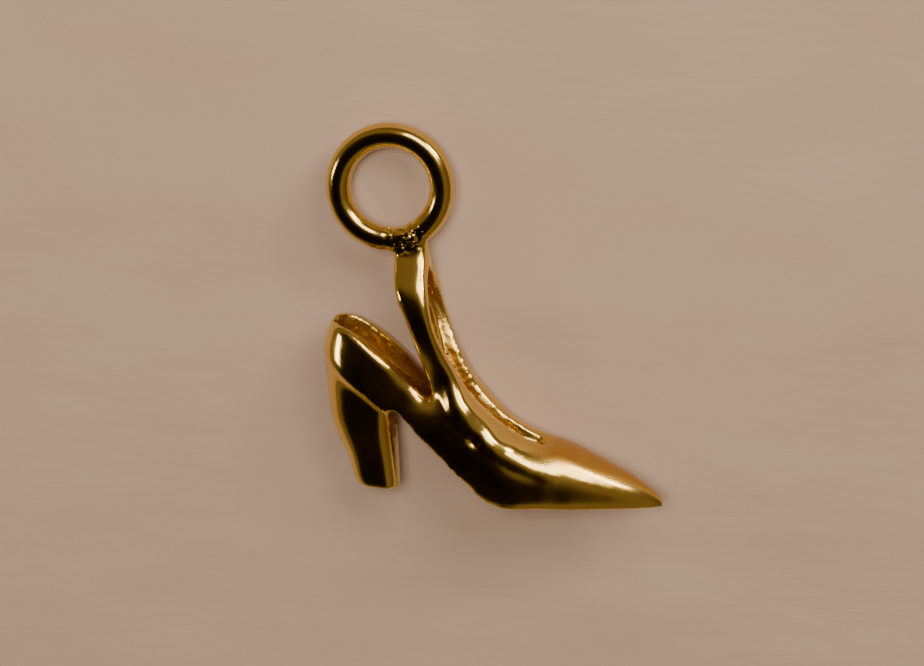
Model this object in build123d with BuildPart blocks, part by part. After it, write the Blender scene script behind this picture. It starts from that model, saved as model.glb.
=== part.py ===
from build123d import *
from collections import namedtuple
from math import cos, radians, sin, sqrt
import os

# High-heeled shoe charm in one casting, lying on its far side.
# In the shoe's own plane x runs from the counter to the toe, y from the ground to the ring,
# and z across the shoe, up and away from the surface that it lies on. All lengths are in mm.

# Overall sizes of the shoe
shoe_length = 18.27
shoe_width = 5.6
counter_width = 4.3
counter_height = 9.25
throat_reach = 12.03
throat_height = 3.09
toe_drop = 0.06

# Ankle band, from the V notch up to the neck that carries the ring
notch_reach = 6.06
notch_height = 5.42
band_height = 14.22
neck_front = 5.19
neck_length = 1.90

# Sole line: seat of the heel, shank and ball
seat_height = 7.5
breast_reach = 3.55
breast_height = 4.75
web_length = 0.6
shank_reach = 8.3
shank_height = 0.93
ball_reach = 10.2

# Walls
wall = 0.6
cup_floor = 0.95
cup_half = 1.05
seat_lap = 0.15

# Heel
heel_tip_reach = 1.9
heel_tip_length = 2.3
heel_tip_width = 2.0
heel_top_width = 3.8

# Ring, with a narrow flat land round its hole
ring_outer = 6.75
ring_wire = 1.3
ring_land = 0.39
ring_lean = 6.0
ring_turn = 18.8

# Rounding of the cast edges
rim_round = 0.35
cuff_round = 0.3

# Round dent on the upper side, and the way that the wall faces there
dent_reach = 8.45
dent_height = 3.68
dent_radius = 0.42
dent_depth = 0.12
dent_way = (0.20, 0.36, 0.91)

# How the charm lies on its far side, on its ball, counter and band: turned from level about its own length
# and about its height. The plating is rubbed flat where it touches.
lie_roll = -1.72
lie_pitch = -2.70
lie_rub = 0.04

half_width = shoe_width / 2
toe_length = shoe_length - throat_reach
neck_back = neck_front - neck_length
neck_top = (neck_front, band_height)
neck_root = (neck_back, band_height - 0.4 * neck_length)

# The neck's sloping end is in the middle of the ring's wire. The ring is turned to the shoe's back and
# leans to the surface.
turn, lean = radians(ring_turn), radians(ring_lean)
ring_way = (-sin(turn), cos(turn) * cos(lean), -cos(turn) * sin(lean))
neck_end = ((neck_top[0] + neck_root[0]) / 2, (neck_top[1] + neck_root[1]) / 2, 0)
ring_centre = tuple(end + way * (ring_outer - ring_wire) / 2 for end, way in zip(neck_end, ring_way))
ring_middle = (ring_outer - ring_wire) / 2
ring_hole = 2 * ring_middle - 2 * sqrt((ring_wire / 2) ** 2 - (ring_land / 2) ** 2)

# The origin is under the middle of the box round the charm, on the surface that it lies on.
lying = Plane.XY.rotated((lie_roll, lie_pitch, 0))
ring_left = lying.from_local_coords((ring_centre[0] - ring_outer / 2, ring_centre[1], ring_centre[2]))
ring_end = lying.from_local_coords((ring_centre[0], ring_centre[1] + ring_outer / 2, ring_centre[2]))
toe_end = lying.from_local_coords((shoe_length, -toe_drop, 0))
ball_side = lying.from_local_coords((0.560 * shoe_length, 0.077 * band_height, -0.964 * half_width))
mid = Plane(
    origin=(-(ring_left.X + toe_end.X) / 2, -(ring_end.Y + toe_end.Y) / 2, -ball_side.Z - lie_rub),
    x_dir=lying.x_dir, z_dir=lying.z_dir,
)
underside = mid.offset(-shoe_width)


def level(height):
    """Plane across the shoe at a height above its ground line, x along the shoe."""
    return Plane(origin=mid.from_local_coords((0, height, 0)), x_dir=mid.x_dir, z_dir=mid.y_dir)


def station(reach):
    """Plane across the shoe at a distance from the back, x across and y up the shoe."""
    return Plane(origin=mid.from_local_coords((reach, 0, 0)), x_dir=-mid.z_dir, z_dir=mid.x_dir)


def between(start, end, rows):
    """Points whose shares run from 0 at the start to 1 at the end, both in x and in y."""
    return [(start[0] + row.x * (end[0] - start[0]), start[1] + row.y * (end[1] - start[1])) for row in rows]


# Hull sections, from the ground up: height as a share of band_height, place of the back as a share of
# shoe_length, and half widths as shares of half the counter_width or of half the shoe_width.
HullRow = namedtuple("HullRow", "height back counter waist vamp ball throat")
HULL = (
    HullRow(0.000, 0.010, 0.70, 0.66, 0.75, 0.84, 0.785),
    HullRow(0.028, 0.009, 0.725, 0.695, 0.785, 0.87, 0.83),
    HullRow(0.066, 0.008, 0.755, 0.735, 0.825, 0.90, 0.855),
    HullRow(0.115, 0.006, 0.80, 0.78, 0.865, 0.92, 0.84),
    HullRow(0.160, 0.005, 0.84, 0.82, 0.885, 0.91, 0.72),
    HullRow(0.205, 0.003, 0.88, 0.84, 0.89, 0.865, 0.50),
    HullRow(0.246, 0.001, 0.91, 0.84, 0.885, 0.77, 0.27),
    HullRow(0.287, 0.000, 0.94, 0.82, 0.865, 0.58, 0.12),
    HullRow(0.328, 0.000, 0.96, 0.77, 0.82, 0.46, 0.10),
    HullRow(0.370, 0.000, 0.98, 0.66, 0.75, 0.42, 0.10),
    HullRow(0.455, -0.002, 1.00, 0.55, 0.58, 0.40, 0.12),
    HullRow(0.598, 0.009, 0.78, 0.72, 0.71, 0.66, 0.30),
    HullRow(0.718, 0.045, 0.75, 0.78, 0.73, 0.68, 0.40),
    HullRow(0.823, 0.055, 0.62, 0.57, 0.54, 0.52, 0.42),
    HullRow(0.890, 0.050, 0.36, 0.34, 0.335, 0.33, 0.30),
    HullRow(0.957, 0.045, 0.21, 0.20, 0.20, 0.20, 0.18),
    HullRow(1.053, 0.045, 0.18, 0.17, 0.17, 0.17, 0.16),
)
hull_reach = (2.2, 5.6, 7.5, 9.4, throat_reach)

# Toe sections, from the throat to the tip: reach as a share of the toe's length, half widths as shares
# of half the shoe_width, heights as shares of throat_height and drop as a share of toe_drop.
ToeRow = namedtuple("ToeRow", "reach sole bulge crease bulge_y crease_y ridge_y drop")
TOE = (
    ToeRow(0.00, 0.78, 0.86, 0.43, 0.47, 0.985, 1.015, 0.0),
    ToeRow(0.27, 0.64, 0.70, 0.47, 0.40, 0.81, 0.91, 0.3),
    ToeRow(0.52, 0.47, 0.54, 0.40, 0.30, 0.58, 0.71, 0.7),
    ToeRow(0.74, 0.31, 0.37, 0.30, 0.20, 0.37, 0.50, 1.0),
    ToeRow(0.90, 0.18, 0.21, 0.17, 0.11, 0.20, 0.29, 1.0),
    ToeRow(1.00, 0.06, 0.07, 0.05, 0.04, 0.08, 0.12, 1.0),
)

# Side lines of the shoe. Each runs between two named corners, with its points as shares of the way.
ShareRow = namedtuple("ShareRow", "x y")
RIM = (
    ShareRow(0.000, 0.000), ShareRow(0.158, 0.040), ShareRow(0.322, 0.094), ShareRow(0.487, 0.180),
    ShareRow(0.600, 0.262), ShareRow(0.705, 0.377), ShareRow(0.787, 0.478), ShareRow(0.850, 0.575),
    ShareRow(0.896, 0.675), ShareRow(0.925, 0.768), ShareRow(0.945, 0.868), ShareRow(0.968, 0.945),
    ShareRow(1.000, 1.000),
)
BACK = (
    ShareRow(0.000, 0.000), ShareRow(0.150, 0.062), ShareRow(0.160, 0.150), ShareRow(0.200, 0.238),
    ShareRow(0.290, 0.325), ShareRow(0.415, 0.405), ShareRow(0.535, 0.505), ShareRow(0.653, 0.623),
    ShareRow(0.733, 0.710), ShareRow(0.827, 0.816), ShareRow(0.935, 0.915), ShareRow(1.000, 1.000),
)
TOPLINE = (
    ShareRow(0.00, 0.00), ShareRow(0.09, 0.09), ShareRow(0.28, 0.39), ShareRow(0.47, 0.65),
    ShareRow(0.65, 0.86), ShareRow(0.82, 0.975), ShareRow(0.95, 1.00),
)
CHANNEL_FLOOR = (
    ShareRow(0.00, 0.00), ShareRow(0.20, 0.15), ShareRow(0.46, 0.74), ShareRow(0.68, 1.08),
    ShareRow(0.88, 1.20), ShareRow(1.00, 0.98),
)

# Half width of the band's hollow as a share of half the shoe_width, by height as a share of band_height.
HollowRow = namedtuple("HollowRow", "y half")
HOLLOW = (
    HollowRow(0.15, 0.15), HollowRow(0.22, 0.17), HollowRow(0.25, 0.19), HollowRow(0.29, 0.18),
    HollowRow(0.35, 0.22), HollowRow(0.41, 0.27), HollowRow(0.48, 0.33), HollowRow(0.55, 0.42),
    HollowRow(0.605, 0.53), HollowRow(0.67, 0.60), HollowRow(0.73, 0.56), HollowRow(0.79, 0.41),
    HollowRow(0.84, 0.22), HollowRow(0.865, 0.00),
)

# Heel sections, from the tip up: height as a share of seat_height, lean of the section back from the tip,
# growth of its width from tip to top, and its round back and front corners as shares of its half width.
HeelRow = namedtuple("HeelRow", "y lean grow round_back corner")
HEEL = (
    HeelRow(0.00, 0.00, 0.00, 0.60, 0.45),
    HeelRow(0.16, 0.23, 0.14, 0.65, 0.42),
    HeelRow(0.31, 0.46, 0.34, 0.70, 0.38),
    HeelRow(0.46, 0.71, 0.58, 0.74, 0.32),
    HeelRow(0.62, 0.84, 0.76, 0.80, 0.26),
    HeelRow(0.82, 0.91, 0.88, 0.88, 0.22),
    HeelRow(1.04, 0.83, 0.90, 0.95, 0.20),
)

throat = (throat_reach, throat_height)
notch = (notch_reach, notch_height)
rim_points = between(throat, neck_top, RIM)
back_points = between(neck_root, notch, BACK)
top_points = between(notch, (0, counter_height), TOPLINE)
channel_top = 0.88 * band_height
channel_foot = (notch_reach + 1.6 * wall, notch_height - wall)
web_rise = 0.2 * web_length
heel_tip_front = heel_tip_reach + heel_tip_length
ball_bend = (shank_reach + 0.45 * (ball_reach - shank_reach), 0.22 * shank_height)


def long_edges(block):
    """Edges of a block that run most of the way round an opening."""
    return [edge for edge in block.edges() if edge.length > 0.5 * band_height]


def height_of(edge):
    """Height over the ground line of an edge's middle, in mm."""
    return mid.to_local_coords(edge.position_at(0.5)).Y


def offset_of(edge):
    """Distance of an edge's middle from the middle plane, as a share of half the width."""
    return abs(mid.to_local_coords(edge.position_at(0.5)).Z) / half_width


def mirrored(points):
    """The same points on the other side of the middle."""
    return [(x, -y) for x, y in points]


with BuildPart() as hull:
    for row in HULL:
        shares = (row.counter * counter_width / shoe_width, row.waist, row.vamp, row.ball, row.throat)
        back = (row.back * shoe_length, 0)
        near = [(reach, share * half_width) for reach, share in zip(hull_reach, shares)]
        with BuildSketch(level(row.height * band_height)):
            with BuildLine():
                Spline(back, *near, tangents=[(0, 1), (1, -0.25)])
                Spline(back, *mirrored(near), tangents=[(0, -1), (1, 0.25)])
                Line(near[-1], mirrored(near)[-1])
            make_face()
    loft()

with BuildPart() as toe:
    for row in TOE:
        with BuildSketch(station(throat_reach + row.reach * toe_length)):
            with BuildLine():
                low = -row.drop * toe_drop
                sole = row.sole * half_width
                crease = (row.crease * half_width, row.crease_y * throat_height + low)
                bulge = (row.bulge * half_width, row.bulge_y * throat_height + low)
                Line((-sole, low), (sole, low))
                ThreePointArc((sole, low), bulge, crease)
                ThreePointArc(crease, (0, row.ridge_y * throat_height + low), (-crease[0], crease[1]))
                ThreePointArc((-crease[0], crease[1]), (-bulge[0], bulge[1]), (-sole, low))
            make_face()
    loft()

seat_slope = (breast_height - seat_height) / breast_reach
behind = -0.05 * shoe_length


def seat_line(x):
    """Height of the underside of the counter."""
    return seat_height + seat_slope * x


with BuildPart() as upper:
    add(hull.part)
    with BuildSketch(underside):
        with BuildLine():
            Spline(*rim_points)
            Line(neck_top, neck_root)
            Spline(*back_points)
            Spline(*top_points)
            Polyline(
                top_points[-1], (behind, 1.1 * counter_height), (behind, seat_line(behind)),
                (breast_reach, breast_height), (breast_reach + web_length, breast_height + web_rise),
                (shank_reach, shank_height),
            )
            ThreePointArc((shank_reach, shank_height), ball_bend, (ball_reach, 0))
            Polyline((ball_reach, 0), (throat_reach, 0), throat)
        make_face()
    extrude(amount=2 * shoe_width, mode=Mode.INTERSECT)
    rim = [edge for edge in long_edges(upper) if height_of(edge) < 0.6 * band_height and offset_of(edge) > 0.3]
    fillet(rim, radius=rim_round)
    cuff = [edge for edge in long_edges(upper) if height_of(edge) > 0.6 * band_height]
    fillet(cuff, radius=cuff_round)

# Hollow of the band and vamp, open to the front: as wide as its rows say, and as deep as its floor.
inner_back = [(x + 1.15 * wall, y) for x, y in back_points if channel_foot[1] < y < channel_top]
with BuildPart() as channel:
    sides = [(row.half * half_width, row.y * band_height) for row in HOLLOW]
    with BuildSketch(station(0)):
        with BuildLine():
            Spline(*sides)
            Spline(*[(-x, y) for x, y in sides])
            Line(sides[0], (-sides[0][0], sides[0][1]))
        make_face()
    extrude(amount=shoe_length)
    with BuildSketch(underside):
        with BuildLine():
            Spline((inner_back[0][0] + 0.1, channel_top), *inner_back, channel_foot)
            Polyline(
                *between(channel_foot, throat, CHANNEL_FLOOR), (shoe_length, channel_top),
                (inner_back[0][0] + 0.1, channel_top),
            )
        make_face()
    extrude(amount=2 * shoe_width, mode=Mode.INTERSECT)

# Hollow of the counter, open at the top
with BuildPart() as cup:
    with BuildSketch(level(0)):
        with BuildLine():
            ThreePointArc((wall + cup_half, -cup_half), (wall, 0), (wall + cup_half, cup_half))
            Polyline(
                (wall + cup_half, cup_half), (notch_reach, cup_half), (notch_reach, -cup_half),
                (wall + cup_half, -cup_half),
            )
        make_face()
    extrude(amount=band_height)
    with BuildSketch(underside):
        with BuildLine():
            Polyline(
                (behind, band_height), *[(x - 0.4 * wall, y) for x, y in back_points[2:]],
                (notch_reach - 0.2 * wall, notch_height - 1.2 * wall),
                (behind, seat_line(behind) + cup_floor), (behind, band_height),
            )
        make_face()
    extrude(amount=2 * shoe_width, mode=Mode.INTERSECT)

with BuildPart() as heel:
    for row in HEEL:
        half = (heel_tip_width + row.grow * (heel_top_width - heel_tip_width)) / 2
        back = heel_tip_reach * (1 - row.lean)
        front = heel_tip_front + row.lean * (breast_reach + seat_lap - heel_tip_front)
        flat_back = back + row.round_back * half
        flat_front = front - row.corner * half
        with BuildSketch(level(row.y * seat_height)):
            with BuildLine():
                ThreePointArc((flat_back, -half), (back, 0), (flat_back, half))
                Polyline(
                    (flat_back, half), (flat_front, half), (front, half - row.corner * half),
                    (front, row.corner * half - half), (flat_front, -half), (flat_back, -half),
                )
            make_face()
    loft()
    with BuildSketch(underside):
        with BuildLine():
            Polyline(
                (behind, seat_line(behind) + seat_lap), (breast_reach, breast_height + seat_lap),
                (ball_reach, breast_height + seat_lap), (ball_reach, behind), (behind, behind),
                (behind, seat_line(behind) + seat_lap),
            )
        make_face()
    extrude(amount=2 * shoe_width, mode=Mode.INTERSECT)

ring_plane = Plane(
    origin=mid.from_local_coords(ring_centre), x_dir=mid.x_dir, z_dir=mid.z_dir,
).rotated((-ring_lean, 0, 0))

dent_ball = (dent_radius**2 + dent_depth**2) / (2 * dent_depth)
dent_from = (dent_reach, dent_height, 0.834 * half_width)
dent_centre = tuple(start + way * (dent_ball - dent_depth) for start, way in zip(dent_from, dent_way))

with BuildPart() as shoe_charm:
    add(upper.part)
    add(toe.part)
    add(channel.part, mode=Mode.SUBTRACT)
    add(cup.part, mode=Mode.SUBTRACT)
    add(heel.part)
    with BuildSketch(Plane(origin=ring_plane.origin, x_dir=ring_plane.x_dir, z_dir=ring_plane.y_dir)):
        with Locations((ring_middle, 0)):
            Circle(ring_wire / 2)
    revolve(axis=Axis(ring_plane.origin, ring_plane.z_dir))
    with BuildSketch(ring_plane.offset(-ring_wire)):
        Circle(ring_hole / 2)
    extrude(amount=2 * ring_wire, mode=Mode.SUBTRACT)
    with Locations(mid.from_local_coords(dent_centre)):
        Sphere(dent_ball, mode=Mode.SUBTRACT)
    split(bisect_by=Plane.XY, keep=Keep.TOP)

shoe_charm.part.label = "shoe_charm"
os.makedirs("parts", exist_ok=True)
export_step(shoe_charm.part, "parts/shoe_charm.step")
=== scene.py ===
"""Looks of a cast, gold-plated shoe charm lying on pale paper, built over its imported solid.

Lengths in the classes are in millimetres and angles in degrees. Meshes are turned to metres as they are made.
"""

import logging
import math
from dataclasses import dataclass, field
from enum import Enum

import bmesh
import bpy
import numpy as np
from mathutils import Matrix, Vector, noise
from mathutils.bvhtree import BVHTree

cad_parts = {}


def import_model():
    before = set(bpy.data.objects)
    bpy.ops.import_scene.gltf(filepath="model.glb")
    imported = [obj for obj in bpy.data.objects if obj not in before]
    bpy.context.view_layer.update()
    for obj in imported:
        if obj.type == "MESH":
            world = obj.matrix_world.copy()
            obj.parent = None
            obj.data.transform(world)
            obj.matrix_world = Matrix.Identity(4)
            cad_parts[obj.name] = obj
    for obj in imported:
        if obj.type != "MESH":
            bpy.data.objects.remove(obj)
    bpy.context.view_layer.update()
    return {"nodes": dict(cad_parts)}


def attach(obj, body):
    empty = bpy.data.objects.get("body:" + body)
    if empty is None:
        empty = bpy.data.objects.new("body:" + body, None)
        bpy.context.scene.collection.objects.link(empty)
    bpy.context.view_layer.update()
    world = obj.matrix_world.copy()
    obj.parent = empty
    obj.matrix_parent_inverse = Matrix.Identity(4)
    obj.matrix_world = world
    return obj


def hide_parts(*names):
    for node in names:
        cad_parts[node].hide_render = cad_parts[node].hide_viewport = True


MM = 0.001
TINY = 1e-12
LOG = logging.getLogger("charm")

Span = tuple[float, float]
Point = tuple[float, float, float]


class Zone(Enum):
    """Surface attributes of the casting: how rough the metal is and where its colour is darkened as painted shade,
    and where the mould's grains stand on it.
    """

    CAST = "as_cast"
    GRAIN = "grain_density"


def hex_linear(value: str) -> tuple[float, float, float, float]:
    """Turns an sRGB hex value into a linear colour.

    Args:
        value: Six hex digits.

    Returns:
        Red, green, blue and alpha, linear.
    """
    parts = [int(value[i : i + 2], 16) / 255 for i in (0, 2, 4)]
    linear = [c / 12.92 if c <= 0.04045 else ((c + 0.055) / 1.055) ** 2.4 for c in parts]
    return (linear[0], linear[1], linear[2], 1.0)


def rise(values: np.ndarray, start: float, end: float) -> np.ndarray:
    """Share that goes evenly from 0 at the start to 1 at the end, which may be the lower of the two.

    Args:
        values: One number for each point.
        start: Value with the share 0.
        end: Value with the share 1.

    Returns:
        One share for each point.
    """
    return np.clip((values - start) / (end - start), 0, 1)


def add_node(
    tree: bpy.types.NodeTree, kind: str, sets: dict | None = None, links: dict | None = None
) -> bpy.types.Node:
    """Adds a node with its settings and links.

    Args:
        tree: Node tree that takes the node.
        kind: Blender's name of the node type.
        sets: Values by name; a name with a leading dot is a property of the node, and any other an input.
        links: Output sockets by the input that each goes to.

    Returns:
        The new node.
    """
    node = tree.nodes.new(kind)
    for name, value in (sets or {}).items():
        if isinstance(name, str) and name.startswith("."):
            setattr(node, name[1:], value)
        else:
            node.inputs[name].default_value = value
    for name, socket in (links or {}).items():
        tree.links.new(socket, node.inputs[name])
    return node


@dataclass(frozen=True)
class ShoePlane:
    """The shoe's middle plane as it lies: x from the counter to the toe, y to the ring, z across the shoe."""

    origin: Point = (-9.125, -9.867, 2.206)
    roll: float = -1.72
    pitch: float = -2.70

    def matrix(self) -> Matrix:
        """Turns shoe coordinates in millimetres into the frame's millimetres."""
        turn = Matrix.Rotation(math.radians(self.roll), 4, "X")
        return Matrix.Translation(self.origin) @ turn @ Matrix.Rotation(math.radians(self.pitch), 4, "Y")


@dataclass(frozen=True)
class GoldPlate:
    """Yellow gold plate over cast brass: mirror bright where polished, rougher and darker where the casting stayed
    rough; that darker colour is painted shade.
    """

    name: str = "polished_gold_plate_on_cast_brass"
    bright: str = "F0D27E"
    warm: str = "DDB95C"
    dull_shade: str = "C99A48"
    bright_roughness: float = 0.12
    haze_roughness: float = 0.07
    dull_roughness: float = 0.36
    drift_mm: float = 2.0
    haze_mm: float = 0.6
    ripple_mm: float = 0.5
    ripple_depth_mm: float = 0.02
    grit_mm: float = 0.12
    grit_depth_mm: float = 0.05

    def material(self) -> bpy.types.Material:
        """Builds the material.

        Returns:
            A node material that reads the surface attributes and Object coordinates.
        """
        mat = bpy.data.materials.new(self.name)
        mat.use_nodes = True
        tree = mat.node_tree
        tree.nodes.clear()
        place = add_node(tree, "ShaderNodeTexCoord").outputs["Object"]
        cast = add_node(tree, "ShaderNodeAttribute", {".attribute_name": Zone.CAST.value}).outputs["Fac"]
        # The plate is thin over uneven brass, so the yellow drifts a little from place to place.
        drift = add_node(
            tree, "ShaderNodeTexNoise", {"Scale": 1 / (self.drift_mm * MM), "Detail": 2.0}, {"Vector": place}
        )
        tone = add_node(
            tree, "ShaderNodeMix",
            {".data_type": "RGBA", 6: hex_linear(self.bright), 7: hex_linear(self.warm)},
            {0: drift.outputs["Fac"]},
        )
        # Painted shade: the darker colour is mixed in by the as-cast share, in the sheltered hollows and on the
        # toe's top.
        colour = add_node(
            tree, "ShaderNodeMix", {".data_type": "RGBA", 7: hex_linear(self.dull_shade)},
            {0: cast, 6: tone.outputs[2]},
        )
        # Polishing leaves a light haze in patches.
        haze = add_node(
            tree, "ShaderNodeTexNoise", {"Scale": 1 / (self.haze_mm * MM), "Detail": 4.0}, {"Vector": place}
        )
        bright = add_node(
            tree, "ShaderNodeMapRange",
            {
                "From Min": 0.3, "From Max": 0.75,
                "To Min": self.bright_roughness, "To Max": self.bright_roughness + self.haze_roughness,
            },
            {"Value": haze.outputs["Fac"]},
        )
        rough = add_node(
            tree, "ShaderNodeMix", {".data_type": "FLOAT", 3: self.dull_roughness},
            {0: cast, 2: bright.outputs["Result"]},
        )
        # As-cast skin copies the mould's grit of about 0.05 mm. It is drawn coarser, so that it shows.
        grit = add_node(
            tree, "ShaderNodeTexNoise",
            {"Scale": 1 / (self.grit_mm * MM), "Detail": 3.0, "Roughness": 0.7}, {"Vector": place},
        )
        grit_height = add_node(
            tree, "ShaderNodeMath", {".operation": "MULTIPLY"}, {0: grit.outputs["Fac"], 1: cast}
        )
        # The polished face keeps a faint ripple, which breaks up long mirror images.
        soft = add_node(
            tree, "ShaderNodeTexNoise",
            {"Scale": 1 / (self.ripple_mm * MM), "Detail": 1.0, "Distortion": 0.4}, {"Vector": place},
        )
        ripple = add_node(
            tree, "ShaderNodeBump", {"Strength": 0.12, "Distance": self.ripple_depth_mm * MM},
            {"Height": soft.outputs["Fac"]},
        )
        bump = add_node(
            tree, "ShaderNodeBump", {"Strength": 0.75, "Distance": self.grit_depth_mm * MM},
            {"Height": grit_height.outputs["Value"], "Normal": ripple.outputs["Normal"]},
        )
        shader = add_node(
            tree, "ShaderNodeBsdfPrincipled", {"Metallic": 1.0},
            {
                "Base Color": colour.outputs[2], "Roughness": rough.outputs[0],
                "Normal": bump.outputs["Normal"],
            },
        )
        add_node(tree, "ShaderNodeOutputMaterial", {}, {"Surface": shader.outputs["BSDF"]})
        return mat


@dataclass(frozen=True)
class Paper:
    """Plain uncoated paper: matt, faintly mottled, with a soft laid texture along x."""

    name: str = "plain_pale_paper"
    light: str = "C6AF9C"
    shade: str = "B49B87"
    roughness: float = 0.9
    laid_share: float = 0.35
    cloud_mm: float = 5.0
    tooth_mm: float = 1.2
    tooth_depth_mm: float = 0.12

    def material(self) -> bpy.types.Material:
        """Builds the material.

        Returns:
            A matt node material on Object coordinates.
        """
        mat = bpy.data.materials.new(self.name)
        mat.use_nodes = True
        tree = mat.node_tree
        tree.nodes.clear()
        place = add_node(tree, "ShaderNodeTexCoord")
        laid = add_node(
            tree, "ShaderNodeMapping", {"Scale": (self.laid_share, 1.0, 1.0)}, {"Vector": place.outputs["Object"]}
        )
        cloud = add_node(
            tree, "ShaderNodeTexNoise", {"Scale": 1 / (self.cloud_mm * MM), "Detail": 3.0},
            {"Vector": laid.outputs["Vector"]},
        )
        colour = add_node(
            tree, "ShaderNodeMix",
            {".data_type": "RGBA", 6: hex_linear(self.light), 7: hex_linear(self.shade)},
            {0: cloud.outputs["Fac"]},
        )
        tooth = add_node(
            tree, "ShaderNodeTexNoise", {"Scale": 1 / (self.tooth_mm * MM), "Detail": 5.0, "Roughness": 0.65},
            {"Vector": laid.outputs["Vector"]},
        )
        bump = add_node(
            tree, "ShaderNodeBump", {"Strength": 0.35, "Distance": self.tooth_depth_mm * MM},
            {"Height": tooth.outputs["Fac"]},
        )
        shader = add_node(
            tree, "ShaderNodeBsdfPrincipled", {"Roughness": self.roughness, "Specular IOR Level": 0.2},
            {"Base Color": colour.outputs[2], "Normal": bump.outputs["Normal"]},
        )
        add_node(tree, "ShaderNodeOutputMaterial", {}, {"Surface": shader.outputs["BSDF"]})
        return mat


@dataclass(frozen=True)
class CastGrains:
    """Small beads of metal that ran into the mould's pores and were never polished off."""

    per_mm2: float = 7.0
    smallest: float = 0.03
    largest: float = 0.095
    seed: int = 11

    def group(self) -> bpy.types.NodeTree:
        """Builds the node group that scatters the beads over a skin and joins them to it.

        Returns:
            A geometry node group with the inputs Density, Smallest, Largest, Seed and Finish.
        """
        tree = bpy.data.node_groups.new("cast_grains", "GeometryNodeTree")
        face = tree.interface
        face.new_socket("Geometry", in_out="INPUT", socket_type="NodeSocketGeometry")
        inputs = {"Density": "Float", "Smallest": "Float", "Largest": "Float", "Seed": "Int", "Finish": "Material"}
        for name, kind in inputs.items():
            face.new_socket(name, in_out="INPUT", socket_type=f"NodeSocket{kind}")
        face.new_socket("Geometry", in_out="OUTPUT", socket_type="NodeSocketGeometry")
        given = add_node(tree, "NodeGroupInput").outputs
        zone = add_node(
            tree, "GeometryNodeInputNamedAttribute", {".data_type": "FLOAT", "Name": Zone.GRAIN.value}
        )
        crowd = add_node(
            tree, "ShaderNodeMath", {".operation": "MULTIPLY"},
            {0: given["Density"], 1: zone.outputs["Attribute"]},
        )
        spots = add_node(
            tree, "GeometryNodeDistributePointsOnFaces", {},
            {"Mesh": given["Geometry"], "Density": crowd.outputs["Value"], "Seed": given["Seed"]},
        )
        bead = add_node(tree, "GeometryNodeMeshIcoSphere", {"Radius": 1.0, "Subdivisions": 2})
        size = add_node(
            tree, "FunctionNodeRandomValue", {".data_type": "FLOAT"},
            {2: given["Smallest"], 3: given["Largest"], "Seed": given["Seed"]},
        )
        placed = add_node(
            tree, "GeometryNodeInstanceOnPoints", {},
            {"Points": spots.outputs["Points"], "Instance": bead.outputs["Mesh"], "Scale": size.outputs[1]},
        )
        real = add_node(tree, "GeometryNodeRealizeInstances", {}, {"Geometry": placed.outputs["Instances"]})
        joined = add_node(tree, "GeometryNodeJoinGeometry", {}, {"Geometry": real.outputs["Geometry"]})
        tree.links.new(given["Geometry"], joined.inputs["Geometry"])
        dressed = add_node(
            tree, "GeometryNodeSetMaterial", {},
            {"Geometry": joined.outputs["Geometry"], "Material": given["Finish"]},
        )
        add_node(tree, "NodeGroupOutput", {}, {"Geometry": dressed.outputs["Geometry"]})
        return tree

    def scatter(self, piece: bpy.types.Object, finish: bpy.types.Material) -> None:
        """Scatters the beads over a piece and keeps the result as its mesh.

        Args:
            piece: The piece, in metres, with the grain attribute.
            finish: Material of skin and beads.
        """
        tree = self.group()
        step = piece.modifiers.new("grains", "NODES")
        step.node_group = tree
        values = {
            "Density": self.per_mm2 / MM**2, "Smallest": self.smallest * MM, "Largest": self.largest * MM,
            "Seed": self.seed, "Finish": finish,
        }
        for socket in tree.interface.items_tree:
            if socket.item_type == "SOCKET" and socket.in_out == "INPUT" and socket.name in values:
                step[socket.identifier] = values[socket.name]
        done = bpy.data.meshes.new_from_object(piece.evaluated_get(bpy.context.evaluated_depsgraph_get()))
        piece.modifiers.remove(step)
        piece.data = done
        done.shade_smooth()


@dataclass
class Surface:
    """Points, faces and edges of one closed skin, in shoe millimetres, with the smoothing of a cast piece."""

    points: np.ndarray
    faces: np.ndarray
    edges: np.ndarray
    pull: float = 0.5
    give_back: float = 0.53

    def average(self, values: np.ndarray) -> np.ndarray:
        """Mean of each point's neighbours.

        Args:
            values: One row for each point.

        Returns:
            The neighbours' mean of each row.
        """
        a, b = self.edges[:, 0], self.edges[:, 1]
        size = len(values)
        count = np.bincount(a, minlength=size) + np.bincount(b, minlength=size)
        flat = values.reshape(size, -1)
        total = np.stack(
            [
                np.bincount(a, flat[b, k], minlength=size) + np.bincount(b, flat[a, k], minlength=size)
                for k in range(flat.shape[1])
            ],
            1,
        )
        return (total / np.maximum(count, 1)[:, None]).reshape(values.shape)

    def relax(self, rounds: int, weight: np.ndarray | float = 1.0, keep_size: bool = True) -> None:
        """Smooths the points in place.

        Args:
            rounds: How many times.
            weight: Share of the move that each point takes.
            keep_size: Undoes the shrinking after each round.
        """
        share = weight if isinstance(weight, float) else weight[:, None]
        for _ in range(rounds):
            self.points += self.pull * share * (self.average(self.points) - self.points)
            if keep_size:
                self.points -= self.give_back * share * (self.average(self.points) - self.points)

    def normals(self) -> np.ndarray:
        """Outward unit normals at the points.

        Returns:
            One row for each point.
        """
        p, f = self.points, self.faces
        face = np.cross(p[f[:, 2]] - p[f[:, 0]], p[f[:, 3]] - p[f[:, 1]])
        total = np.zeros_like(p)
        for k in range(4):
            for axis in range(3):
                total[:, axis] += np.bincount(f[:, k], face[:, axis], minlength=len(p))
        return total / np.maximum(np.linalg.norm(total, axis=1, keepdims=True), TINY)

    def bend(self) -> np.ndarray:
        """How sharply the skin turns at each point, from 0 on a plane."""
        now = self.normals()
        return np.linalg.norm(self.average(self.average(now)) - now, axis=1)


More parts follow.
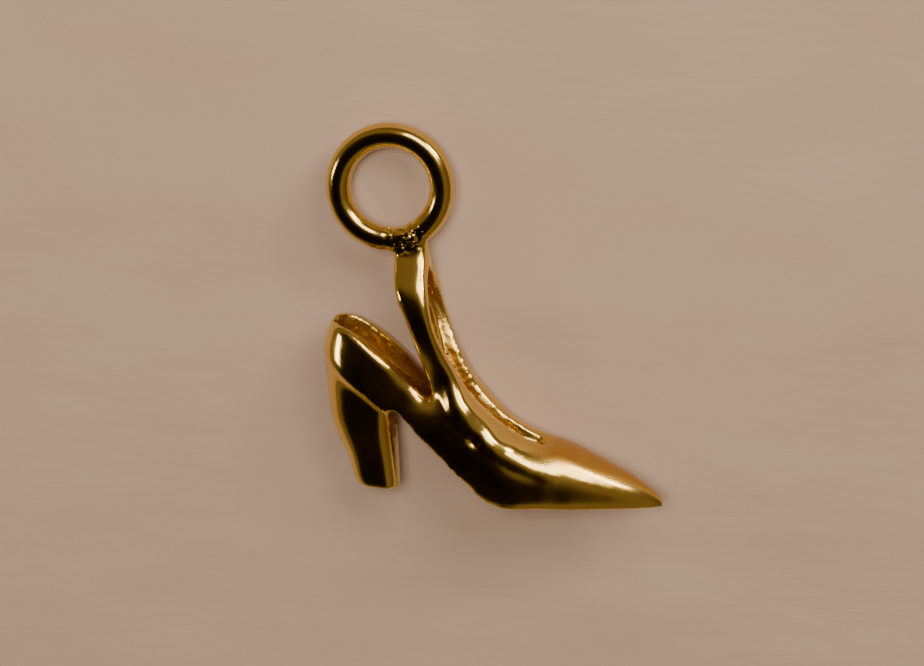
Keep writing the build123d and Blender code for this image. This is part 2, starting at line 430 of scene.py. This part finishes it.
@dataclass(frozen=True)
class Unevenness:
    """Small heights of the metal, in millimetres, and how often each kind comes to the millimetre."""

    wave: float = 0.010
    wave_rate: float = 0.55
    swirl_rate: float = 1.3
    swirl_share: float = 0.4
    swirl_shift: Point = (9, 3, 1)
    ridge: float = 0.055
    ridge_rate: float = 4.2
    ridge_run: float = 0.9
    bend_centre: Span = (14.6, 13.0)
    bend_radius: float = 8.0
    pit_rate: float = 4.5
    pit_share: float = 0.7
    lump: float = 0.16
    lump_rate: float = 2.6
    lump_base: float = 0.25
    bead_rate: float = 5.0
    bead_share: float = 0.5

    def polished(self, place: Vector) -> float:
        """Height at a place of the soft waves that stay under the polish."""
        swirl = noise.noise(place * self.swirl_rate + Vector(self.swirl_shift))
        return self.wave * (noise.noise(place * self.wave_rate) + self.swirl_share * swirl)

    def as_cast(self, place: Vector) -> float:
        """Height of the mould's ridges, which run round the ankle band's bend, and the pits among them.

        Args:
            place: Point of the skin.

        Returns:
            Height in millimetres.
        """
        x, y = place.x - self.bend_centre[0], place.y - self.bend_centre[1]
        out, along = math.hypot(x, y), math.atan2(y, x) * self.bend_radius
        ridged = noise.noise(Vector((out * self.ridge_rate, along * self.ridge_run, place.z * self.ridge_rate)))
        return self.ridge * (ridged + self.pit_share * noise.noise(place * self.pit_rate))

    def joint(self, place: Vector) -> float:
        """Height at a place of the lumps on the joint of ring and neck."""
        lump = abs(noise.noise(place * self.lump_rate)) - self.lump_base
        return self.lump * (lump + self.bead_share * noise.noise(place * self.bead_rate))


@dataclass
class ShoeCasting:
    """The whole charm in one casting: shoe, ankle band, heel and ring.

    A span goes with `rise`: its first value has the share 0, and its second the share 1.
    """

    plane: ShoePlane
    finish: GoldPlate
    node: str = "shoe_charm"
    name: str = "shoe_casting"
    metal: Unevenness = field(default_factory=Unevenness)
    grains: CastGrains = field(default_factory=CastGrains)

    # Even skin
    voxel: float = 0.1
    weld: float = 1e-4
    askew_turn: float = 37.0
    askew_axis: Point = (1.0, 0.7, 0.45)
    even_rounds: int = 20

    # Softened edges, with the toe's crease and the dent kept sharper
    sharp_bend: float = 0.10
    edge_spread: int = 2
    edge_rounds: int = 12
    calm_spread: int = 4
    calm_rounds: int = 50
    toe_span: Span = (12.2, 13.4)
    toe_edge_less: float = 0.7
    toe_calm_less: float = 0.8
    toe_crease_height: float = 0.8
    dent: Point = (8.45, 3.68, 2.34)
    dent_span: Span = (0.6, 1.0)

    # Shoulders beside the near rim, which is followed from the band's top to the toe
    rim: tuple[Span, ...] = (
        (5.6, 10.9), (6.07, 9.6), (6.85, 7.8), (7.47, 6.8), (8.04, 5.77),
        (8.70, 5.07), (9.83, 4.14), (10.95, 3.53), (13.5, 2.6),
    )
    plump_by: float = 0.22
    plump_width: float = 1.35
    plump_side: Span = (0.7, 1.2)
    plump_facing: Span = (0.0, 0.3)
    plump_start_length: float = 1.5
    plump_end_length: float = 2.2
    plump_end: float = 12.9
    plump_rounds: int = 6

    # Ring: radius of its wire's middle, half its wire, its lean and turn, and its rough joint on the neck
    ring_centre: Point = (3.362, 16.405, -0.270)
    ring_middle: float = 2.725
    ring_wire: float = 0.65
    ring_lean: float = 6.0
    ring_turn: float = 18.8
    ring_clear: Span = (17.0, 25.0)
    ring_off: Span = (0.2, 0.1)
    joint_middle: float = 4.0
    joint_span: Span = (27.2, 10.2)
    joint_out: Span = (0.75, 0.60)

    # Seam under the counter, and the groove just above the sole
    seam: tuple[Span, Span] = ((0.95, 6.80), (3.60, 4.74))
    seam_square: float = 0.83
    seam_width: float = 0.09
    seam_side: float = 1.3
    welt_span: Span = (9.2, 10.0)
    welt_height: float = 0.30
    welt_width: float = 0.12
    welt_depth: float = 0.012
    welt_side: float = 0.25

    # Where the polishing wheel did not reach, by rays that meet the casting again; the same share is painted
    # shade, a darker colour in the hollows
    rays: int = 24
    ray_seed: int = 7
    ray_lift: float = 0.03
    ray_forward: float = 1.05
    ray_reach: float = 6.0
    shelter_spread: int = 3
    cast_shade_span: Span = (0.42, 0.64)
    # Painted shade on the toe's top facet: the way it faces, its reach along x, and its share of the darker
    # colour.
    matt_shaded_top_facing: Span = (0.55, 0.80)
    matt_shaded_top_span: Span = (11.0, 12.5)
    matt_shaded_top_share: float = 0.9
    joint_grains: float = 0.9
    hollow_grains: float = 0.45
    hollow_span: Span = (0.5, 0.9)

    def skin(self, solid: bpy.types.Object) -> Surface:
        """Merges a copy of the CAD node's mesh and remeshes it into even quads.

        Args:
            solid: The CAD node's object.

        Returns:
            The even skin in shoe millimetres.
        """
        mesh = solid.data.copy()
        # Voxels that lie askew to every edge leave no long steps along it.
        askew = Matrix.Rotation(math.radians(self.askew_turn), 4, Vector(self.askew_axis))
        mesh.transform(askew @ self.plane.matrix().inverted() @ Matrix.Scale(1 / MM, 4))
        mesh.materials.clear()
        work = bmesh.new()
        work.from_mesh(mesh)
        bmesh.ops.remove_doubles(work, verts=work.verts, dist=self.weld)
        work.to_mesh(mesh)
        work.free()
        piece = bpy.data.objects.new("casting_work", mesh)
        bpy.context.scene.collection.objects.link(piece)
        remesh = piece.modifiers.new("even", "REMESH")
        remesh.mode = "VOXEL"
        remesh.voxel_size = self.voxel
        even = bpy.data.meshes.new_from_object(piece.evaluated_get(bpy.context.evaluated_depsgraph_get()))
        bpy.data.objects.remove(piece)
        points = np.array([v.co for v in even.vertices], float) @ np.array(askew.to_3x3())
        faces = np.array([list(p.vertices) for p in even.polygons if len(p.vertices) == 4], int)
        edges = np.array([list(e.vertices) for e in even.edges], int)
        return Surface(points, faces, edges)

    def soften(self, skin: Surface) -> np.ndarray:
        """Takes the voxels' steps off the skin and softens its edges as a casting's are.

        Args:
            skin: The charm's skin, changed in place.

        Returns:
            Share of open, unedged skin at each point.
        """
        skin.relax(self.even_rounds)
        x, y, z = skin.points.T
        edge = rise(skin.bend(), 0, self.sharp_bend)
        edge *= 1 - self.toe_edge_less * rise(x, *self.toe_span) * (y > self.toe_crease_height)
        for _ in range(self.edge_spread):
            edge = np.maximum(edge, skin.average(edge))
        skin.relax(self.edge_rounds, edge, keep_size=False)
        x, y, z = skin.points.T
        calm = (1 - rise(skin.bend(), 0, self.sharp_bend)) * (1 - self.toe_calm_less * rise(x, *self.toe_span))
        calm *= rise(np.linalg.norm(skin.points - np.array(self.dent), axis=1), *self.dent_span)
        for _ in range(self.calm_spread):
            calm = np.minimum(calm, skin.average(calm))
        for _ in range(self.calm_spread):
            calm = skin.average(calm)
        skin.relax(self.calm_rounds, calm, keep_size=False)
        return calm

    def plump(self, skin: Surface) -> None:
        """Fills the vamp's shoulders out just below the rim, where the light catches them.

        Args:
            skin: The charm's skin, changed in place.
        """
        line = np.array(self.rim)
        start, way = line[:-1], line[1:] - line[:-1]
        away = skin.points[:, None, :2] - start[None]
        share = np.clip((away * way).sum(2) / (way**2).sum(1), 0, 1)
        off = away - share[..., None] * way
        below = np.linalg.norm(off, axis=2).min(1)
        x, y, z = skin.points.T
        normals = skin.normals()
        outer = rise(np.abs(z), *self.plump_side) * rise(normals[:, 2] * np.sign(z), *self.plump_facing)
        first = self.rim[0][0]
        reach = rise(x, first, first + self.plump_start_length)
        reach *= rise(x, self.plump_end, self.plump_end - self.plump_end_length)
        swell = np.sin(np.pi * np.clip(below / self.plump_width, 0, 1)) * outer * reach
        skin.points = skin.points + normals * (self.plump_by * swell)[:, None]

    def ring_angle(self, skin: Surface) -> np.ndarray:
        """Angle of each point round the ring from its foot on the neck, towards the toe."""
        away = skin.points - np.array(self.ring_centre)
        return np.degrees(np.arctan2(away[:, 0], -away[:, 1])) - self.ring_turn

    def round_ring(self, skin: Surface) -> None:
        """Draws the ring's wire to a true round, away from its foot on the neck.

        Args:
            skin: The charm's skin, changed in place.
        """
        lean = np.array(Matrix.Rotation(math.radians(-self.ring_lean), 3, "X"))
        local = (skin.points - np.array(self.ring_centre)) @ lean
        flat = np.linalg.norm(local[:, :2], axis=1)
        middle = local.copy()
        middle[:, :2] *= (self.ring_middle / np.maximum(flat, TINY))[:, None]
        middle[:, 2] = 0
        out = local - middle
        far = np.linalg.norm(out, axis=1)
        target = middle + out * (self.ring_wire / np.maximum(far, TINY))[:, None]
        clear = rise(np.abs(self.ring_angle(skin)), *self.ring_clear)
        share = (clear * rise(far - self.ring_wire, *self.ring_off))[:, None]
        skin.points = (local * (1 - share) + target * share) @ lean.T + np.array(self.ring_centre)

    def ring_foot(self, skin: Surface) -> np.ndarray:
        """Share of the rough joint between ring and neck at each point.

        Args:
            skin: The charm's skin.

        Returns:
            From 0 away from the joint to 1 on it.
        """
        far = np.linalg.norm(skin.points[:, :2] - np.array(self.ring_centre)[:2], axis=1)
        near = rise(np.abs(self.ring_angle(skin) - self.joint_middle), *self.joint_span)
        return near * rise(far - self.ring_middle, *self.joint_out)

    def seat_line(self, skin: Surface) -> np.ndarray:
        """Share of the seam under the counter, where it meets the heel, at each point.

        Args:
            skin: The charm's skin.

        Returns:
            From 0 away from the seam to 1 on it.
        """
        x, y, z = skin.points.T
        (x0, y0), (x1, y1) = self.seam
        off = (y - y0 - (x - x0) * (y1 - y0) / (x1 - x0)) * self.seam_square
        return np.exp(-((off / self.seam_width) ** 2)) * (x > x0) * (x < x1) * (np.abs(z) > self.seam_side)

    def relief(self, skin: Surface, cast: np.ndarray, foot: np.ndarray) -> np.ndarray:
        """Unevenness of the metal, and the groove above the sole.

        Args:
            skin: The charm's skin.
            cast: Share of as-cast metal at each point.
            foot: Share of the ring's rough joint at each point.

        Returns:
            Outward move of each point in millimetres.
        """
        push = np.zeros(len(skin.points))
        for index, point in enumerate(skin.points):
            place = Vector(point)
            push[index] = self.metal.polished(place)
            if cast[index] > 0:
                push[index] += cast[index] * self.metal.as_cast(place)
            if foot[index] > 0:
                push[index] += foot[index] * self.metal.joint(place)
        x, y, z = skin.points.T
        low = np.exp(-(((y - self.welt_height) / self.welt_width) ** 2))
        return push - self.welt_depth * low * rise(x, *self.welt_span) * (np.abs(z) > self.welt_side)

    def shelter(self, skin: Surface) -> np.ndarray:
        """How far each point is out of the polishing wheel's reach, which is also how deep it lies in the hollows'
        shade.

        Args:
            skin: The charm's skin.

        Returns:
            From 0 in the open to 1 deep inside the hollows.
        """
        tree = BVHTree.FromPolygons(skin.points.tolist(), skin.faces.tolist())
        rng = np.random.default_rng(self.ray_seed)
        spread = rng.normal(size=(self.rays, 3))
        spread /= np.linalg.norm(spread, axis=1, keepdims=True)
        hits = np.zeros(len(skin.points))
        for index, (point, normal) in enumerate(zip(skin.points, skin.normals())):
            start = Vector(point + normal * self.ray_lift)
            for way in spread:
                ray = Vector(normal * self.ray_forward + way)
                if tree.ray_cast(start, ray, self.ray_reach)[0] is not None:
                    hits[index] += 1
        share = hits / self.rays
        for _ in range(self.shelter_spread):
            share = skin.average(share)
        return share

    def build(self, solid: bpy.types.Object) -> bpy.types.Object:
        """Builds and dresses the casting.

        Args:
            solid: The CAD node's object.

        Returns:
            The finished object.
        """
        skin = self.skin(solid)
        LOG.info("even skin: %d points, %d faces", len(skin.points), len(skin.faces))
        calm = self.soften(skin)
        self.plump(skin)
        skin.relax(self.plump_rounds, calm, keep_size=False)
        self.round_ring(skin)
        # The sheltered share is rough as-cast skin, and the same share paints the hollows darker as painted shade.
        cast = rise(self.shelter(skin), *self.cast_shade_span)
        # Painted shade: the toe's top facet, picked by the way it faces, takes the darker colour of the as-cast
        # zone, and its rougher finish too.
        matt_shaded_top = rise(skin.normals()[:, 1], *self.matt_shaded_top_facing) * rise(skin.points[:, 0], *self.matt_shaded_top_span)
        foot = self.ring_foot(skin)
        skin.points = skin.points + skin.normals() * self.relief(skin, cast, foot)[:, None]
        hollow = rise(cast, *self.hollow_span)
        grain = self.joint_grains * foot + self.hollow_grains * hollow + self.seat_line(skin)
        zones = {Zone.CAST: np.maximum(cast, self.matt_shaded_top_share * matt_shaded_top), Zone.GRAIN: np.clip(grain, 0, 1)}
        mesh = bpy.data.meshes.new(self.name)
        mesh.from_pydata(skin.points.tolist(), [], skin.faces.tolist())
        mesh.transform(Matrix.Scale(MM, 4) @ self.plane.matrix())
        mesh.update()
        for zone, values in zones.items():
            layer = mesh.attributes.new(zone.value, "FLOAT", "POINT")
            layer.data.foreach_set("value", values.astype(np.float32))
        piece = bpy.data.objects.new(self.name, mesh)
        bpy.context.scene.collection.objects.link(piece)
        self.grains.scatter(piece, self.finish.material())
        return piece


@dataclass(frozen=True)
class Softbox:
    """A soft area light that looks at the charm: place and size in millimetres, power in watts, and colour."""

    name: str
    spot: Point
    size: Span
    power: float
    tint: str
    mirrored: bool = True

    def hang(self) -> bpy.types.Object:
        """Hangs the light.

        Returns:
            The light.
        """
        data = bpy.data.lights.new(self.name, "AREA")
        data.shape = "RECTANGLE"
        data.size, data.size_y = self.size[0] * MM, self.size[1] * MM
        data.energy = self.power
        data.color = hex_linear(self.tint)[:3]
        light = bpy.data.objects.new(self.name, data)
        light.location = Vector(self.spot) * MM
        light.rotation_euler = (-Vector(self.spot)).to_track_quat("-Z", "Y").to_euler()
        light.visible_glossy = self.mirrored
        bpy.context.scene.collection.objects.link(light)
        return light


@dataclass
class Studio:
    """Paper, light and camera. The camera's turns are from the shoe's middle plane."""

    plane: ShoePlane
    paper: Paper
    paper_size: float = 600.0
    aim: Point = (7.333, 8.802, 0.0)
    lean: float = 19.0
    roll: float = 1.2
    yaw: float = 9.0
    distance: float = 170.0
    lens: float = 126.84
    sensor: float = 36.0
    near_clip: float = 5.0
    dark_way: Point = (-0.36, -0.22, 0.907)
    walls: tuple[tuple[float, str], ...] = (
        (0.0, "6A5840"), (0.35, "7C6A4A"), (0.60, "7A6A48"), (0.70, "544630"), (0.77, "22180E"), (1.0, "0E0905"),
    )
    # The last one only lays the shadow: its mirror image would fall on sides that the viewer keeps dark.
    lights: tuple[Softbox, ...] = (
        Softbox("lamp", (84, 176, 172), (170, 90), 0.30, "FFF3E2"),
        Softbox("window", (165, 185, 115), (80, 44), 0.2, "FFF0DC"),
        Softbox("side_glow", (-205, 25, 120), (34, 44), 0.06, "F2E2D2"),
        Softbox("overhead", (-10, 110, 290), (90, 90), 0.62, "FFF3E8", mirrored=False),
    )

    def lay_paper(self) -> bpy.types.Object:
        """Lays the sheet of paper that the charm lies on.

        Returns:
            The paper.
        """
        half = self.paper_size / 2 * MM
        mesh = bpy.data.meshes.new("paper")
        corners = [(-half, -half, 0), (half, -half, 0), (half, half, 0), (-half, half, 0)]
        mesh.from_pydata(corners, [], [(0, 1, 2, 3)])
        mesh.update()
        mesh.materials.append(self.paper.material())
        piece = bpy.data.objects.new("paper", mesh)
        bpy.context.scene.collection.objects.link(piece)
        return piece

    def place_camera(self) -> bpy.types.Object:
        """Puts the camera where the photograph was taken from.

        Returns:
            The camera.
        """
        roll, lean, yaw = math.radians(self.roll), math.radians(self.lean), math.radians(self.yaw)
        along = Vector((math.cos(roll), math.sin(roll), 0))
        across = Vector((-math.sin(roll), math.cos(roll), 0))
        over = Vector((0, 0, 1))
        right = math.cos(yaw) * along - math.sin(yaw) * over
        back = math.cos(lean) * (math.sin(yaw) * along + math.cos(yaw) * over) + math.sin(lean) * across
        up = back.cross(right)
        local = Matrix((right, up, back)).transposed().to_4x4()
        local.translation = Vector(self.aim) + self.distance * back
        world = self.plane.matrix() @ local
        world.translation = world.translation * MM
        data = bpy.data.cameras.new("camera")
        data.sensor_fit = "HORIZONTAL"
        data.sensor_width = self.sensor
        data.lens = self.lens
        data.clip_start = self.near_clip * MM
        camera = bpy.data.objects.new("camera", data)
        camera.matrix_world = world
        bpy.context.scene.collection.objects.link(camera)
        bpy.context.scene.camera = camera
        return camera

    def room(self) -> None:
        """Surrounds the charm with pale walls that darken overhead, where the viewer leans over it."""
        world = bpy.data.worlds.new("room")
        bpy.context.scene.world = world
        world.use_nodes = True
        tree = world.node_tree
        tree.nodes.clear()
        way = add_node(tree, "ShaderNodeTexCoord")
        nearness = add_node(
            tree, "ShaderNodeVectorMath", {".operation": "DOT_PRODUCT", 1: self.dark_way},
            {0: way.outputs["Generated"]},
        )
        ramp = add_node(tree, "ShaderNodeValToRGB", {}, {"Fac": nearness.outputs["Value"]})
        steps = ramp.color_ramp.elements
        first, *between, last = self.walls
        steps[0].position, steps[0].color = first[0], hex_linear(first[1])
        steps[1].position, steps[1].color = last[0], hex_linear(last[1])
        for position, tint in between:
            step = steps.new(position)
            step.color = hex_linear(tint)
        glow = add_node(tree, "ShaderNodeBackground", {"Strength": 1.0}, {"Color": ramp.outputs["Color"]})
        add_node(tree, "ShaderNodeOutputWorld", {}, {"Surface": glow.outputs["Background"]})

    def light(self) -> None:
        """Sets the room and the soft lights."""
        self.room()
        for box in self.lights:
            box.hang()


def main() -> None:
    """Builds the studio and the charm."""
    logging.basicConfig(level=logging.INFO, format="%(message)s")
    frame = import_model()
    plane = ShoePlane()
    studio = Studio(plane, Paper())
    studio.place_camera()
    studio.light()
    studio.lay_paper()
    casting = ShoeCasting(plane, GoldPlate())
    piece = casting.build(frame["nodes"][casting.node])
    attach(piece, "root")
    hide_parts(casting.node)
    LOG.info("%s: %d faces", piece.name, len(piece.data.polygons))


if __name__ == "__main__":
    main()
